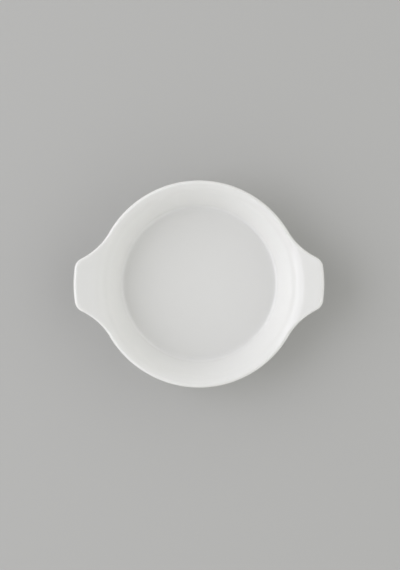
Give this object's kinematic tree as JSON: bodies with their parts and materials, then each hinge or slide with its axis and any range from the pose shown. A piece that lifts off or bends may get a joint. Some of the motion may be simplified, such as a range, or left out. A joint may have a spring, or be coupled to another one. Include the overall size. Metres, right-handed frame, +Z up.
{
  "type": "baking dish",
  "caption": "Round shallow ceramic baking dish with a flared rounded rim, flat ears to lift it by and an unglazed foot ring.",
  "frame": {"origin": "centre of the foot ring's base, on the surface that the dish stands on", "axes": "+X through the middle of the right ear, +Z up along the dish's axis, +Y to the back"},
  "size_m": [0.2172, 0.18, 0.0419],
  "materials": {
    "white_glaze": "smooth glossy white glaze",
    "bare_body": "unglazed fine-grained ceramic, ground flat"
  },
  "bodies": {
    "root": {"bowl": "white_glaze", "right_ear": "white_glaze", "left_ear": "white_glaze", "foot_ring": "bare_body"}
  },
  "joints": []
}
